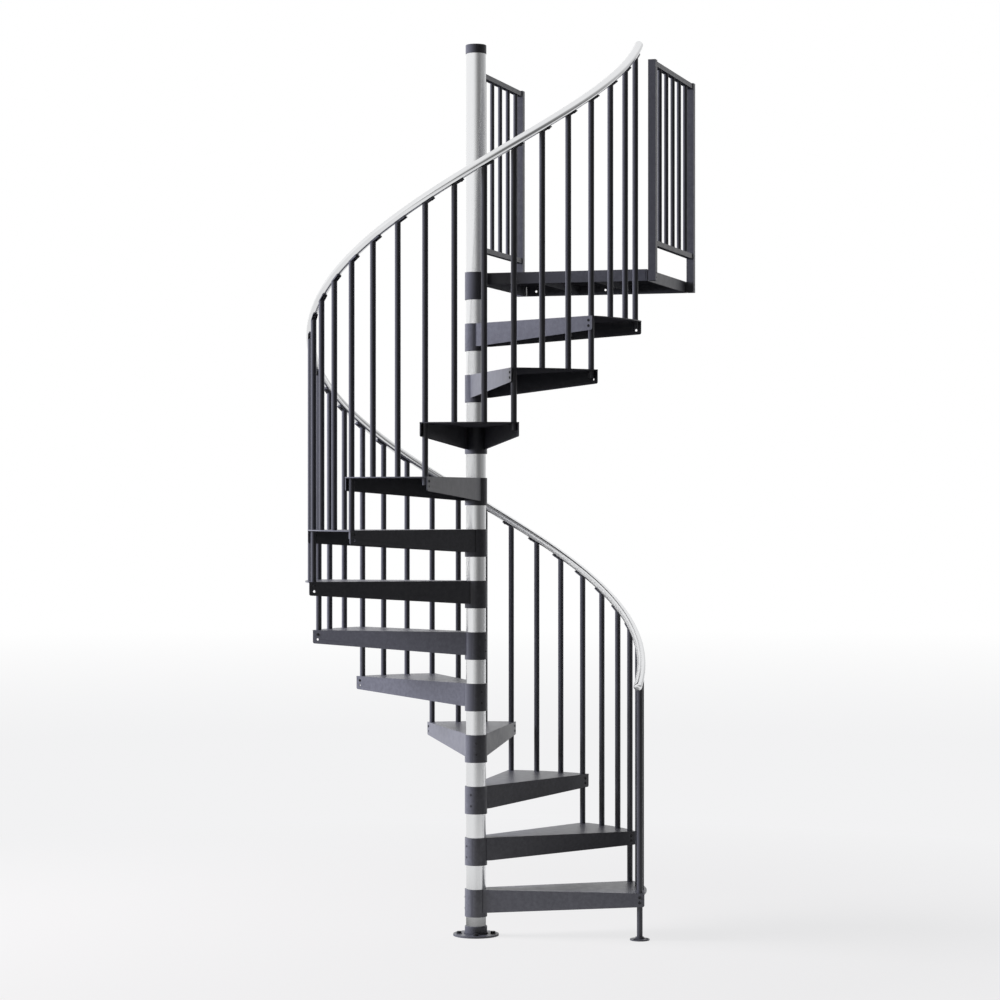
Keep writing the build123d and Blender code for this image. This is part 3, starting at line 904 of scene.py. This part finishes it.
def dot(tree, first, second):
    """The dot product of a socket's vector and a fixed one."""
    node = tree.add("ShaderNodeVectorMath", {"operation": "DOT_PRODUCT"})
    tree.feed(node.inputs[0], first)
    node.inputs[1].default_value = second
    return node.outputs["Value"]


def blend(tree, share, first, second):
    """Two shaders mixed by a share."""
    node = tree.add("ShaderNodeMixShader")
    tree.feed(node.inputs[0], share)
    tree.links.new(first.outputs[0], node.inputs[1])
    tree.links.new(second.outputs[0], node.inputs[2])
    return node


def floor_seen(tree, place, distance):
    """The floor as the camera sees it: paint that takes the shadow, and a glow that fades to white."""
    grain = tree.varied(tree.noise(place, scale=40.0), *FLOOR_GRAIN)
    green = tree.math("MULTIPLY", grain, FLOOR_GREEN_SHARE)
    blue = tree.math("MULTIPLY", grain, FLOOR_BLUE_SHARE)
    tone = tree.add("ShaderNodeCombineColor", Red=grain, Green=green, Blue=blue)
    paint = tree.add("ShaderNodeBsdfDiffuse", Color=tone.outputs[0])
    shadeless = tree.spread(distance, 0.0, 1.0, *FLOOR_SHADOW_SPAN)
    away = tree.spread(distance, 0.0, 1.0, *FLOOR_WHITE_SPAN)
    pale = tree.mix(shadeless, *FLOOR_GLOWS)
    glow = tree.add("ShaderNodeEmission", Color=tree.mix(away, pale, WHITE))
    return blend(tree, tree.spread(shadeless, *FLOOR_GLOW_SHARES), paint, glow)


def floor_light(tree, place, distance, glossy):
    """The floor's light on the stair: mirrored in glossy finishes, and bounced onto matt ones."""
    near = tree.spread(distance, *FLOOR_SHINE_LEVELS, *FLOOR_SHINE_SPAN)
    towards_dim_side = dot(tree, place, room_direction(FLOOR_DIM_ANGLE))
    far = tree.spread(towards_dim_side, *FLOOR_DIM_LEVELS, *FLOOR_DIM_SPAN)
    mirrored = tree.add("ShaderNodeEmission", Strength=tree.math("MULTIPLY", near, far))
    strength = tree.spread(distance, *FLOOR_BOUNCE_LEVELS, *FLOOR_BOUNCE_SPAN)
    bounce = tree.add("ShaderNodeEmission", Strength=strength)
    return blend(tree, glossy, bounce, mirrored)


def floor():
    """A wide pale floor that fades to white away from the stair."""
    mesh = bpy.data.meshes.new("floor")
    half = FLOOR_HALF_WIDTH
    corners = [(-half, -half, 0), (half, -half, 0), (half, half, 0), (-half, half, 0)]
    mesh.from_pydata(corners, [], [(0, 1, 2, 3)])
    material = bpy.data.materials.new("floor_pale")
    material.cycles.emission_sampling = "NONE"
    tree = Tree(material)
    place = tree.add("ShaderNodeTexCoord").outputs["Object"]
    distance = tree.add("ShaderNodeVectorMath", {"operation": "LENGTH"}, Vector=place).outputs["Value"]
    rays = tree.add("ShaderNodeLightPath").outputs
    light = floor_light(tree, place, distance, rays["Is Glossy Ray"])
    whole = blend(tree, rays["Is Camera Ray"], light, floor_seen(tree, place, distance))
    tree.add("ShaderNodeOutputMaterial", Surface=whole.outputs[0])
    mesh.materials.append(material)
    placed("floor", mesh)


def room_sides(tree, aim):
    """The room's brightness by direction, as a curve through its levels."""
    turn = tree.math("ARCTAN2", dot(tree, aim, ROOM_BACK), dot(tree, aim, ROOM_RIGHT))
    ramp = tree.add("ShaderNodeFloatCurve", Value=tree.spread(turn, 0.0, 1.0, -math.pi, math.pi))
    ramp.mapping.use_clip = False
    points = []
    for degrees, brightness in ROOM_LEVELS:
        from_left = (degrees + FULL_TURN_DEGREES / 2) % FULL_TURN_DEGREES
        points.append((from_left / FULL_TURN_DEGREES, brightness))
    points.sort()
    points.append((1.0, points[0][1]))
    curve = ramp.mapping.curves[0]
    for share, brightness in points[1:-1]:
        curve.points.new(share, brightness)
    for point, location in zip(curve.points, points):
        point.location = location
        point.handle_type = "VECTOR"
    ramp.mapping.update()
    return ramp.outputs[0]


def room():
    """White to the camera, a little fill for matt finishes, and light and dark sides for polished ones."""
    world = bpy.data.worlds.new("room")
    world.cycles.sampling_method = "NONE"
    bpy.context.scene.world = world
    tree = Tree(world)
    aim = tree.add("ShaderNodeTexCoord").outputs["Generated"]
    height = tree.add("ShaderNodeSeparateXYZ", Vector=aim).outputs["Z"]
    overhead = tree.spread(height, 0.0, 1.0, *ROOM_OVERHEAD_SPAN)
    sides = tree.math("MULTIPLY", room_sides(tree, aim), tree.math("SUBTRACT", 1.0, overhead))
    shine = tree.math("ADD", sides, tree.math("MULTIPLY", overhead, ROOM_OVERHEAD_LEVEL))
    rays = tree.add("ShaderNodeLightPath").outputs
    polished = tree.math("MULTIPLY", rays["Is Glossy Ray"], shine)
    strength = tree.math("MAXIMUM", tree.math("MAXIMUM", rays["Is Camera Ray"], polished), ROOM_FILL_LEVEL)
    sky = tree.add("ShaderNodeBackground", Color=WHITE, Strength=strength)
    tree.add("ShaderNodeOutputWorld", Surface=sky.outputs[0])


def lamp(name, side, lift, watts):
    """A soft square lamp that lights matt finishes, at an angle in the room and an angle above level."""
    light = bpy.data.lights.new(name, "AREA")
    light.size = LAMP_SIZE
    light.energy = watts
    light.color = LAMP_COLOR
    outward = room_direction(side) * math.cos(lift) + UP * math.sin(lift)
    piece = placed(name, light)
    piece.location = LAMP_AIM + outward * LAMP_REACH
    piece.rotation_euler = (-outward).to_track_quat("-Z", "Y").to_euler()
    piece.visible_glossy = False


def camera():
    """The photograph's camera."""
    data = bpy.data.cameras.new("camera")
    data.lens = CAMERA_LENS
    data.sensor_width = CAMERA_SENSOR
    piece = placed("camera", data)
    piece.location = CAMERA_PLACE
    piece.rotation_euler = CAMERA_AIM.to_track_quat("-Z", "Y").to_euler()
    bpy.context.scene.camera = piece


floor()
room()
for name, (side_degrees, lift_degrees, watts) in LAMPS.items():
    lamp(name, math.radians(side_degrees), math.radians(lift_degrees), watts)
camera()
bpy.context.scene.view_settings.view_transform = "Standard"
